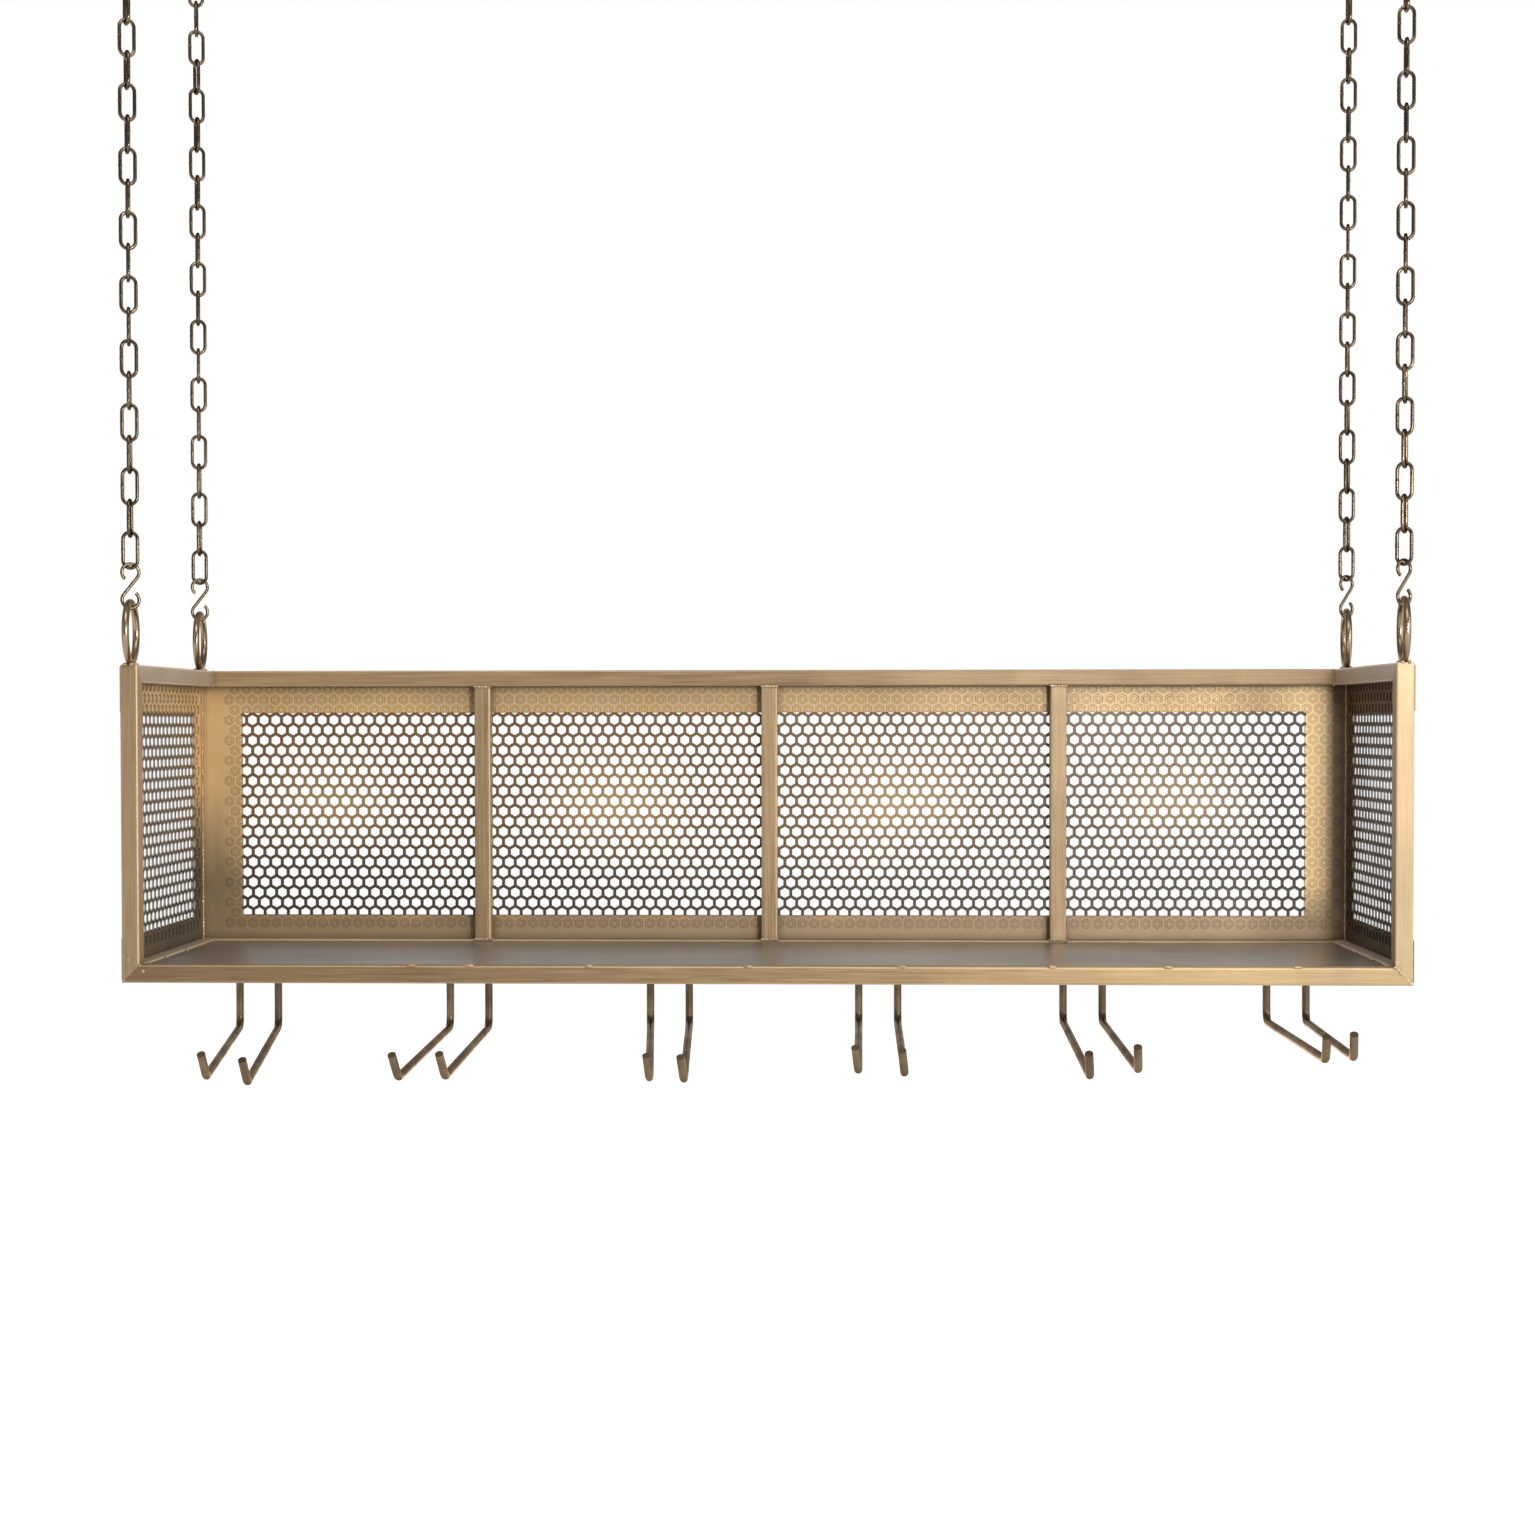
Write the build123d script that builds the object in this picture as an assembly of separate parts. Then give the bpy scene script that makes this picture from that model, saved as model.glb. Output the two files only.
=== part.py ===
from build123d import *
import math
import os

# A hanging shelf: a square tube frame with perforated sheet walls, hung on four chains from
# the ceiling, with pairs of glass rods below. X is right, Y is away from the open front, Z is up.
# The origin is the centre of the four ceiling screws, on the ceiling. All sizes are millimetres.

# Shelf frame
shelf_width = 914.4
shelf_depth = 203.2
shelf_height = 227.0
tube = 12.7
tube_wall = 1.5
tube_corner = 1.6
divider_count = 3

# Sheet walls and floor
sheet = 1.0
floor_sheet = 1.5
strip_thickness = 1.0
border = 20.0
hex_pitch = 23.4
hex_bar = 5.1

# Rings on the top side rails
ring_outer = 47.5
ring_wire = 5.0
ring_toe = 7.7
ring_seat = 0.5
back_ring_inset = 25.0

# S hooks between the rings and the chains
s_height = 34.0
s_wire = 2.4
s_curl = 6.0
s_yaw = 30.0
s_tip_angle = 232.0
hook_gap = 0.5

# Chain links
link_count = 21
link_height = 25.6
link_width = 10.2
link_wire = 2.6
link_gap = 0.3
chain_twist = -31.0

# Ceiling hooks, plates and nuts
hook_wire = 5.0
hook_curl = 8.0
hook_neck = 5.0
hook_shank = 14.0
hook_tip_angle = -195.0
screw_length = 30.0
screw_wire = 4.0
plate_outer = 34.0
plate_thickness = 3.0
plate_clearance = 0.05
nut_flats = 8.0
nut_height = 4.0

# Glass rods: a stem under the back rail, a run towards the front and a turned up tip
rod = 6.0
rod_spacing = 31.0
rod_end_margin = 48.0
rod_run = 222.0
rod_stem = 58.5
rod_tip = 22.0
rod_tip_angle = 54.0
rod_tip_yaw = -9.0
rod_bend = 9.0
# Each pair as welded: shift along the rail as a share of the spacing, stem as a share of the
# longest one, yaw and downward tilt of the two rods
rod_pairs = (
    (-0.032, 1.0, (9.2, 8.7), (1.2, 2.2)),
    (0.161, 1.0, (0.5, 1.0), (1.1, 0.9)),
    (0.065, 0.949, (4.5, 2.7), (1.9, 2.1)),
    (0.145, 0.923, (-0.8, -0.5), (0.7, 1.2)),
    (0.097, 0.898, (-1.2, -0.6), (2.0, 0.8)),
    (0.0, 0.889, (-0.8, -3.8), (-1.0, -1.4)),
)

# Places of the chains
chain_x = (shelf_width - tube) / 2
chain_spacing_y = shelf_depth - tube / 2 - back_ring_inset
chain_y = chain_spacing_y / 2
corners = {
    "front_left": (-chain_x, -chain_y),
    "front_right": (chain_x, -chain_y),
    "back_left": (-chain_x, chain_y),
    "back_right": (chain_x, chain_y),
}

# Heights from the ceiling down, each at the centre of the wire that carries the next piece
neck_turn = math.acos(hook_neck / (hook_neck + hook_curl))
neck_drop = (hook_neck + hook_curl) * math.sin(neck_turn)
hook_centre_z = -(plate_thickness + hook_shank + neck_drop)
hook_seat_z = hook_centre_z - hook_curl
link_step = link_height - link_wire - link_gap
first_link_top_z = hook_seat_z + (hook_wire + link_wire) / 2 + link_gap
first_link_bottom_z = first_link_top_z - link_height
last_link_bottom_z = first_link_bottom_z - (link_count - 1) * link_step
s_centre_z = last_link_bottom_z + link_wire / 2 + hook_gap + s_wire - s_height / 2
ring_top_z = s_centre_z - s_height / 2 + s_wire + hook_gap + ring_wire / 2
shelf_top = ring_top_z + ring_wire / 2 + ring_seat - ring_outer
shelf_bottom = shelf_top - shelf_height
front_y = -chain_y - tube / 2
back_y = front_y + shelf_depth
half_width = shelf_width / 2

nodes = {}


def rod_along(edges, diameter):
    path = Wire(edges)
    section = Plane(origin=path.position_at(0), z_dir=path.tangent_at(0)) * Circle(diameter / 2)
    return sweep(section, path=path).solid()


def arc(centre, radius, start, end):
    # An arc in the XZ plane, with angles in degrees from +X towards +Z
    def point(angle):
        turn = math.radians(angle)
        return (centre[0] + radius * math.cos(turn), 0, centre[1] + radius * math.sin(turn))

    return ThreePointArc(point(start), point((start + end) / 2), point(end))


def square_tube(start, end, cuts=()):
    # Each cut is a point on the cutting plane and the direction that leads out of the tube
    axis = Vector(*end) - Vector(*start)
    side = Vector(1, 0, 0) if abs(axis.X) < 1 else Vector(0, 1, 0)
    outer = RectangleRounded(tube, tube, tube_corner)
    inner_corner = max(tube_corner - tube_wall, 0.1)
    inner = RectangleRounded(tube - 2 * tube_wall, tube - 2 * tube_wall, inner_corner)
    bar = Plane(origin=start, x_dir=side, z_dir=axis) * extrude(outer - inner, axis.length)
    for point, outward in cuts:
        bar = split(bar, bisect_by=Plane(origin=point, z_dir=outward), keep=Keep.BOTTOM)
    return bar.solid()


def chain_link():
    # The link stands in the XZ plane, with the centre of its top wire at the origin
    bow = link_width / 2
    low = bow - link_height
    edges = [
        arc((0, -bow), bow, 180, 0),
        Line((bow, 0, -bow), (bow, 0, low)),
        arc((0, low), bow, 0, -180),
        Line((-bow, 0, low), (-bow, 0, -bow)),
    ]
    return rod_along(edges, link_wire)


def s_hook():
    # Two curls about the hook's centre, joined by the straight line that touches both
    centre = (s_height - s_wire) / 2 - s_curl
    lean = math.degrees(math.asin(s_curl / centre))
    top = arc((0, centre), s_curl, s_tip_angle, -lean)
    bottom = arc((0, -centre), s_curl, 180 - lean, 180 + s_tip_angle)
    return rod_along([top, Line(top @ 1, bottom @ 0), bottom], s_wire)


def ceiling_hook():
    # Screw, shank, neck and curl, made in the XZ plane and turned into the YZ plane
    turn = math.degrees(neck_turn)
    neck_z = hook_centre_z + neck_drop
    neck = arc((hook_neck, neck_z), hook_neck, 180, 180 + turn)
    curl = arc((0, hook_centre_z), hook_curl, turn, hook_tip_angle)
    shank = Line((0, 0, 0), (0, 0, neck_z))
    screw = extrude(Circle(screw_wire / 2), screw_length)
    return Rot(0, 0, 90) * (rod_along([shank, neck, curl], hook_wire) + screw).solid()


def ceiling_plate():
    hole = hook_wire / 2 + plate_clearance
    plate = Circle(plate_outer / 2) - Circle(hole)
    return Pos(0, 0, -plate_thickness) * extrude(plate, plate_thickness)


def nut():
    hole = hook_wire / 2 + plate_clearance
    body = RegularPolygon(nut_flats / 2, 6, major_radius=False) - Circle(hole)
    return Pos(0, 0, -plate_thickness - nut_height) * extrude(body, nut_height)


def ring(side):
    # The ring stands along Y on the rail and toes out towards the back, with a flat foot
    radius = (ring_outer - ring_wire) / 2
    upright = Rot(0, 0, -side * ring_toe) * (Rot(0, 90, 0) * Torus(radius, ring_wire / 2))
    foot = Plane(origin=(0, 0, ring_seat - ring_outer / 2), z_dir=(0, 0, 1))
    return split(upright, bisect_by=foot, keep=Keep.TOP).solid()


def glass_rod(stem, yaw, tilt):
    # The stem's top is at the origin and the run points to -Y before it is yawed
    tilt_turn = math.radians(tilt)
    tip_turn = math.radians(rod_tip_angle)
    elbow = Vector(0, 0, -stem)
    tip_root = elbow + Vector(0, -rod_run * math.cos(tilt_turn), -rod_run * math.sin(tilt_turn))
    tip_yaw = math.radians(rod_tip_yaw)
    reach = rod_tip * math.cos(tip_turn)
    tip_offset = Vector(reach * math.sin(tip_yaw), -reach * math.cos(tip_yaw), rod_tip * math.sin(tip_turn))
    path = FilletPolyline((0, 0, 0), elbow, tip_root, tip_root + tip_offset, radius=rod_bend)
    return Rot(0, 0, yaw) * rod_along(path.edges(), rod)


def hexagon(x, y):
    radius = (hex_pitch - hex_bar) / math.sqrt(3)
    turns = [math.radians(60 * k) for k in range(6)]
    corners_xy = [(x + radius * math.sin(turn), y + radius * math.cos(turn)) for turn in turns]
    return Wire.make_polygon([Vector(px, py, 0) for px, py in corners_xy], close=True)


def perforated_sheet(low, high, field_low, field_high):
    # A flat sheet between two corners, with rows of hexagons that fill the field
    row_pitch = hex_pitch * math.sqrt(3) / 2
    hex_tall = 2 * (hex_pitch - hex_bar) / math.sqrt(3)
    field_width = field_high[0] - field_low[0]
    field_height = field_high[1] - field_low[1]
    columns = int((field_width + hex_bar) // hex_pitch)
    rows = int((field_height - hex_tall) // row_pitch) + 1
    middle_x = (field_low[0] + field_high[0]) / 2
    middle_y = (field_low[1] + field_high[1]) / 2
    holes = []
    for row in range(rows):
        count = columns - row % 2
        for column in range(count):
            x = middle_x + (column - (count - 1) / 2) * hex_pitch
            y = middle_y + (row - (rows - 1) / 2) * row_pitch
            holes.append(hexagon(x, y))
    outline = [Vector(*low), Vector(high[0], low[1]), Vector(*high), Vector(low[0], high[1])]
    return extrude(Face(Wire.make_polygon(outline, close=True), holes), sheet)


def flat_bar(low, high):
    size = [b - a for a, b in zip(low, high)]
    middle = [(a + b) / 2 for a, b in zip(low, high)]
    return Pos(*middle) * Box(*size)


# Ceiling hooks, chains, S hooks and rings at the four corners
one_link = chain_link()
one_s_hook = Rot(0, 0, s_yaw) * s_hook()
one_hook = ceiling_hook()
for corner, (x, y) in corners.items():
    nodes[f"{corner}_ceiling_hook"] = Pos(x, y, 0) * one_hook
    nodes[f"{corner}_top_link"] = Pos(x, y, first_link_top_z) * one_link
    links = []
    for step in range(1, link_count):
        twist = chain_twist * (step - 1) / max(link_count - 2, 1)
        turn = 90 * (step % 2) + twist
        links.append(Pos(x, y, first_link_top_z - step * link_step) * Rot(0, 0, turn) * one_link)
    nodes[f"{corner}_chain"] = Compound(children=links)
    nodes[f"{corner}_s_hook"] = Pos(x, y, s_centre_z) * one_s_hook
    ring_centre_z = ring_top_z + (ring_wire - ring_outer) / 2
    nodes[f"{corner}_ring"] = Pos(x, y, ring_centre_z) * ring(math.copysign(1, x))
nodes["ceiling_plates"] = Compound(children=[Pos(x, y, 0) * ceiling_plate() for x, y in corners.values()])
nodes["hook_nuts"] = Compound(children=[Pos(x, y, 0) * nut() for x, y in corners.values()])

# Tube frame: mitred at the corners, each mitre given by the outer corner and its direction
inset = tube / 2
low_z = shelf_bottom + inset
high_z = shelf_top - inset
rear_y = back_y - inset
nodes["front_bottom_rail"] = square_tube(
    (-half_width, front_y + inset, low_z),
    (half_width, front_y + inset, low_z),
    [
        ((-half_width, front_y, shelf_bottom), (-1, 0, 1)),
        ((half_width, front_y, shelf_bottom), (1, 0, 1)),
    ],
)
for name, rail_z in (("bottom", low_z), ("top", high_z)):
    nodes[f"back_{name}_rail"] = square_tube(
        (-half_width, rear_y, rail_z),
        (half_width, rear_y, rail_z),
        [
            ((-half_width, back_y, rail_z), (-1, -1, 0)),
            ((half_width, back_y, rail_z), (1, -1, 0)),
        ],
    )
for name, side in (("left", -1), ("right", 1)):
    outer_x = side * half_width
    x = side * chain_x
    nodes[f"{name}_front_post"] = square_tube(
        (x, front_y + inset, shelf_bottom),
        (x, front_y + inset, shelf_top),
        [
            ((outer_x, front_y, shelf_bottom), (-side, 0, -1)),
            ((x, front_y, shelf_top), (0, 1, 1)),
        ],
    )
    nodes[f"{name}_top_rail"] = square_tube(
        (x, front_y, high_z),
        (x, back_y, high_z),
        [
            ((x, front_y, shelf_top), (0, -1, -1)),
            ((outer_x, back_y, high_z), (-side, 1, 0)),
        ],
    )
    nodes[f"{name}_bottom_rail"] = square_tube(
        (x, front_y + tube, low_z),
        (x, back_y, low_z),
        [((outer_x, back_y, low_z), (-side, 1, 0))],
    )
for index in range(divider_count):
    x = -half_width + (index + 1) * shelf_width / (divider_count + 1)
    divider = square_tube((x, rear_y, shelf_bottom + tube), (x, rear_y, shelf_top - tube))
    nodes[f"divider_{index + 1}"] = divider

# Floor between the bottom rails, level with where their inner faces turn flat
floor_top = shelf_bottom + tube - tube_corner
nodes["shelf_floor"] = flat_bar(
    (tube - half_width, front_y + tube, floor_top - floor_sheet),
    (half_width - tube, back_y - tube, floor_top),
)

# Perforated walls on the outer faces of the frame
wall_low = shelf_bottom + tube_corner
wall_high = shelf_top - tube_corner
field_low = shelf_bottom + tube + border
field_high = shelf_top - tube - border
field_half = half_width - tube - border
wall_end = half_width + sheet
back_wall = perforated_sheet(
    (-wall_end, wall_low), (wall_end, wall_high), (-field_half, field_low), (field_half, field_high)
)
nodes["back_mesh"] = Plane(origin=(0, back_y + sheet, 0), x_dir=(1, 0, 0), z_dir=(0, -1, 0)) * back_wall
side_front = front_y + tube / 2
field_front = front_y + tube
field_back = back_y - tube - border
for name, wall_x in (("left", -half_width - sheet), ("right", half_width)):
    side_wall = perforated_sheet(
        (side_front, wall_low), (back_y, wall_high), (field_front, field_low), (field_back, field_high)
    )
    nodes[f"{name}_mesh"] = Plane(origin=(wall_x, 0, 0), x_dir=(0, 1, 0), z_dir=(1, 0, 0)) * side_wall

# Flat strips behind the borders of the walls
strip_y = back_y + sheet
strip_end_y = strip_y + strip_thickness
nodes["back_border_strips"] = Compound(
    children=[
        flat_bar((-wall_end, strip_y, field_high), (wall_end, strip_end_y, wall_high)),
        flat_bar((-wall_end, strip_y, wall_low), (wall_end, strip_end_y, field_low)),
        flat_bar((-wall_end, strip_y, field_low), (-field_half, strip_end_y, field_high)),
        flat_bar((field_half, strip_y, field_low), (wall_end, strip_end_y, field_high)),
    ]
)
for name, strip_x in (("left", -wall_end - strip_thickness), ("right", wall_end)):
    strip_end_x = strip_x + strip_thickness
    nodes[f"{name}_border_strips"] = Compound(
        children=[
            flat_bar((strip_x, side_front, field_high), (strip_end_x, back_y, wall_high)),
            flat_bar((strip_x, side_front, wall_low), (strip_end_x, back_y, field_low)),
            flat_bar((strip_x, field_back, field_low), (strip_end_x, back_y, field_high)),
        ]
    )

# Glass rods under the back rail
pair_pitch = (shelf_width - 2 * rod_end_margin) / (len(rod_pairs) - 1)
for index, (shift, stem_share, yaws, tilts) in enumerate(rod_pairs):
    pair_x = rod_end_margin - half_width + index * pair_pitch + shift * rod_spacing
    for name, side, yaw, tilt in zip(("left", "right"), (-1, 1), yaws, tilts):
        x = pair_x + side * rod_spacing / 2
        placed = Pos(x, rear_y, shelf_bottom) * glass_rod(stem_share * rod_stem, yaw, tilt)
        nodes[f"glass_rod_{index + 1}_{name}"] = placed

os.makedirs("parts", exist_ok=True)
for name, shape in nodes.items():
    shape.label = name
    export_step(shape, f"parts/{name}.step")
print(f"{len(nodes)} nodes, shelf from {shelf_bottom:.2f} to {shelf_top:.2f}, front at {front_y:.2f}")
print(f"hook seat {hook_seat_z:.3f}, first link bottom {first_link_bottom_z:.3f}")
print(f"last link bottom {last_link_bottom_z:.3f}, ring top wire {ring_top_z:.3f}")
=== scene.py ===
import math
import random

import bmesh
import bpy
from mathutils import Matrix, Vector
from mathutils.geometry import delaunay_2d_cdt


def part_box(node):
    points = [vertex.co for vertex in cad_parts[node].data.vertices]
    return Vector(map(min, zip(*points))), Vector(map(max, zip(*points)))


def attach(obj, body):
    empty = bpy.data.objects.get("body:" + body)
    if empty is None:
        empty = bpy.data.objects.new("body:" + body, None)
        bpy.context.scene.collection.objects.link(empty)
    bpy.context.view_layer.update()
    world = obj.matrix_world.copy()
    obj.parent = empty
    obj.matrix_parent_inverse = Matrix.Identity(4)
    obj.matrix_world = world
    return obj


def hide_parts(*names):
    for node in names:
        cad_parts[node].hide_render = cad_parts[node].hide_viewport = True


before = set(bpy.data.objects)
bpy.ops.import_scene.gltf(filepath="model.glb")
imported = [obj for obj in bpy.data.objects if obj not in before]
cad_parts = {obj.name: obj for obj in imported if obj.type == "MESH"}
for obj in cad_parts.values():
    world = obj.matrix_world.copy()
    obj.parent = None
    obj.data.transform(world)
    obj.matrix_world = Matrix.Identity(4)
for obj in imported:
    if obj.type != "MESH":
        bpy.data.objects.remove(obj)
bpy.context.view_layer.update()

# Lengths are in metres. X points right, Y away from the open front and Z up
MM = 0.001
x_axis = 0
y_axis = 1
corners = ("front_left", "front_right", "back_left", "back_right")

# Sizes and places read from the frame
post_low, post_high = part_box("left_front_post")
tube = post_high.x - post_low.x
shelf_top = post_high.z
shelf_bottom = post_low.z
front_y = post_low.y
back_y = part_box("back_top_rail")[1].y
half_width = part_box("right_front_post")[1].x
rail_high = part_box("front_bottom_rail")[1]

# Holes of the walls: their first row and their field, from the shelf's top, bottom and middle
hex_pitch = 9.41 * MM
hex_flats = 6.98 * MM
hex_sides = 6
hex_row = hex_pitch * math.sqrt(3) / 2
first_row_z = shelf_top - 39.3 * MM
field_z = (shelf_bottom + 21.0 * MM, shelf_top - 10.0 * MM)
back_field = (-437.0 * MM, 453.0 * MM)
back_phase = -218.6 * MM
side_margin = hex_pitch * 0.6
point_merge = 1e-7

# Strips behind the outer holes. The holes stay open in a window inside these borders
strip_depth = 0.9 * MM
strip_inset = 0.1 * MM
back_border = 20.0 * MM
side_border = 8.0 * MM
top_border = 21.1 * MM
foot_border = 18.6 * MM
open_z = (shelf_bottom + tube + foot_border, shelf_top - tube - top_border)
open_x = half_width - tube - back_border
open_back = back_y - tube - side_border

# Plugs that show in the closed holes
plug_flats = 6.4 * MM
plug_round = 1.85 * MM
plug_ring = 2.15 * MM
round_sides = 12
plug_crown = 1.3
groove_rise = 0.03 * MM
back_plug_rise = 0.65 * MM
side_plug_rise = 0.12 * MM

# Chain links, with more points on their straight legs near the weld in the middle of one leg
link_gap = 0.3 * MM
link_sides = 16
link_bow_steps = 10
link_leg_places = (0.2, 0.35, 0.45, 0.5, 0.55, 0.65, 0.8)
link_weld_swell = 0.10
link_weld_reach = 0.9 * MM

# Twist of the chains: over their length, at their start, and the links over which that start builds up
twist_span = math.radians(-31.0)
twist_start = {"left": math.radians(36.0), "right": 0.0}
twist_ramp = 3

# Camera fitted to the photograph, an image 1535 pixels wide
image_px = 1535
focal_px = 2187.27
camera_from_post = Vector((48.80, -1543.16, -41.92)) * MM
camera_yaw = -0.0290
camera_pitch = 0.0204
camera_roll = -0.0010
camera_reach = 50.0
sensor_mm = 36.0


def colour(r, g, b):
    return (r, g, b, 1.0)


def add_object(name, data):
    obj = bpy.data.objects.new(name, data)
    bpy.context.scene.collection.objects.link(obj)
    return obj


def mesh_from(name, bm):
    mesh = bpy.data.meshes.new(name)
    bm.normal_update()
    bm.to_mesh(mesh)
    bm.free()
    return mesh


def add_piece(name, bm, finishes, body, replaced=(), smooth=True):
    """A piece of the part that rides on a body and may stand for nodes of the frame."""
    mesh = mesh_from(name, bm)
    obj = add_object(name, mesh)
    for finish in finishes:
        mesh.materials.append(finish)
    for polygon in mesh.polygons:
        polygon.use_smooth = smooth
    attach(obj, body)
    if replaced:
        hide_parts(*replaced)


class NodeTree:
    """A short way to add and join shader nodes."""

    def __init__(self, tree):
        self.tree = tree
        tree.nodes.clear()

    def add(self, kind, **values):
        node = self.tree.nodes.new(kind)
        for key, value in values.items():
            if key in node.inputs:
                node.inputs[key].default_value = value
            else:
                setattr(node, key, value)
        return node

    def join(self, source, target):
        self.tree.links.new(source, target)

    def feed(self, value, target):
        """Sets a socket to a constant, or joins it to another node's output."""
        if isinstance(value, (int, float, tuple)):
            target.default_value = value
        else:
            self.join(value, target)

    def maths(self, operation, first, second=0.0):
        node = self.add("ShaderNodeMath", operation=operation)
        self.feed(first, node.inputs[0])
        self.feed(second, node.inputs[1])
        return node.outputs[0]

    def span(self, value, from_low, from_high, to_low, to_high):
        node = self.add("ShaderNodeMapRange")
        for index, number in enumerate((from_low, from_high, to_low, to_high)):
            node.inputs[index + 1].default_value = number
        self.join(value, node.inputs[0])
        return node.outputs[0]

    def blend(self, factor, first, second):
        """The first colour, covered by the second as far as the factor says."""
        node = self.add("ShaderNodeMix", data_type="RGBA")
        colours = [socket for socket in node.inputs if socket.type == "RGBA"]
        self.join(factor, node.inputs[0])
        self.feed(first, colours[0])
        self.feed(second, colours[1])
        return [socket for socket in node.outputs if socket.type == "RGBA"][0]

    def axes(self, coordinate):
        """X, Y and Z of a texture coordinate. Object is the place in the part's frame, in metres."""
        spot = self.add("ShaderNodeTexCoord")
        split = self.add("ShaderNodeSeparateXYZ")
        self.join(spot.outputs[coordinate], split.inputs[0])
        return split.outputs

    def flatness(self):
        """One on faces square to an axis, less where a rounded edge turns away from it."""
        x, y, z = [self.maths("ABSOLUTE", output) for output in self.axes("Normal")]
        return self.maths("MAXIMUM", self.maths("MAXIMUM", x, y), z)

    def noise(self, scale, detail, rough, stretch=(1, 1, 1)):
        spot = self.add("ShaderNodeTexCoord")
        mapping = self.add("ShaderNodeMapping", Scale=stretch)
        texture = self.add("ShaderNodeTexNoise", Scale=scale, Detail=detail, Roughness=rough)
        self.join(spot.outputs["Object"], mapping.inputs["Vector"])
        self.join(mapping.outputs["Vector"], texture.inputs["Vector"])
        return texture.outputs[0]


def new_material(name):
    material = bpy.data.materials.new(name)
    material.use_nodes = True
    return material, NodeTree(material.node_tree)


# Colours of the finishes, in linear light
white = colour(1, 1, 1)
brass = colour(0.35, 0.208, 0.094)
brass_dark = colour(0.255, 0.148, 0.064)
# Pale brass of grain streaks and worn edges, also painted highlight on edges, rails and posts
brass_worn_and_highlight = colour(0.80, 0.61, 0.37)
post_brass = colour(0.36, 0.236, 0.125)
post_dark = colour(0.27, 0.174, 0.09)
rail_grey = colour(0.37, 0.285, 0.205)
rail_grey_dark = colour(0.29, 0.22, 0.155)
rail_pale = colour(0.72, 0.60, 0.50)
bars = colour(0.19, 0.112, 0.05)
bars_dark = colour(0.14, 0.082, 0.038)
# Pale gold of the painted glow of reflected light on the back wall's bars
bars_gold = colour(0.46, 0.305, 0.135)
plate = colour(0.86, 0.58, 0.285)
plate_dark = colour(0.68, 0.45, 0.215)
plate_dull = colour(0.45, 0.30, 0.162)
plate_low = colour(0.34, 0.24, 0.145)
# Bright gold plate: painted light on the left strip and in a pool near the right end of the back strips
plate_lit = colour(0.92, 0.65, 0.35)
plate_lit_dark = colour(0.62, 0.42, 0.20)
# Pale grey of the cut edges, lighter on the left wall as painted light, also its painted glint on the bars
bare_and_glint = colour(0.40, 0.385, 0.365)
bare_dark = colour(0.34, 0.325, 0.31)
# Near black of the plugs' grooves and rings, painted shade
groove = colour(0.03, 0.02, 0.012)
umber = colour(0.075, 0.062, 0.05)
# Near black: dark mottle and the darker lower right wall, and painted shade in creases, along the rails and
# in the back strips' right corner
soot_and_shade = colour(0.05, 0.044, 0.04)
steel = colour(0.36, 0.31, 0.275)
steel_dark = colour(0.25, 0.21, 0.185)
steel_worn = colour(0.50, 0.45, 0.41)
# Paler than the plating: partly the welds' own colour, partly painted glint
weld_brass = colour(0.60, 0.45, 0.28)
rod_brass = colour(0.26, 0.188, 0.122)
rod_dark = colour(0.12, 0.084, 0.052)
hook_brass = colour(0.17, 0.125, 0.082)
ring_brass = colour(0.41, 0.31, 0.205)
ring_dark = colour(0.22, 0.16, 0.105)
bronze = colour(0.20, 0.148, 0.10)
bronze_dark = colour(0.075, 0.056, 0.04)
bronze_worn = colour(0.60, 0.46, 0.28)
rim_brown = colour(0.30, 0.24, 0.19)
rim_pale = colour(0.62, 0.55, 0.48)

# Stretch of the brushed grain along an axis, and shares that several finishes have in common
long_x = (0.02, 1, 1)
long_y = (1, 0.02, 1)
long_z = (1, 1, 0.02)
even = (1, 1, 1)
satin = 0.35
# seam is the share of painted shade in inner corners and creases
seam = 0.55

# Where a noise or a measure starts to count and where it counts in full
cloud_range = (0.35, 0.68)
speck_range = (0.58, 0.75)
brush_range = (0.35, 0.70)
noise_range = (0.3, 0.7)
edge_range = (0.99, 0.88)
crease_range = (0.95, 0.45)

# Painted shade in inner corners and creases: how far off another face counts, and the rays that look for it
crease_reach = 7 * MM
crease_rays = 4

# Fineness of the flecks, changes of roughness by the patina and the grain, and the grain's depth
speck_scale = 260.0
cloud_rough = (0.06, -0.05)
brush_rough = (-0.05, 0.07)
relief_depth = 0.2 * MM


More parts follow.
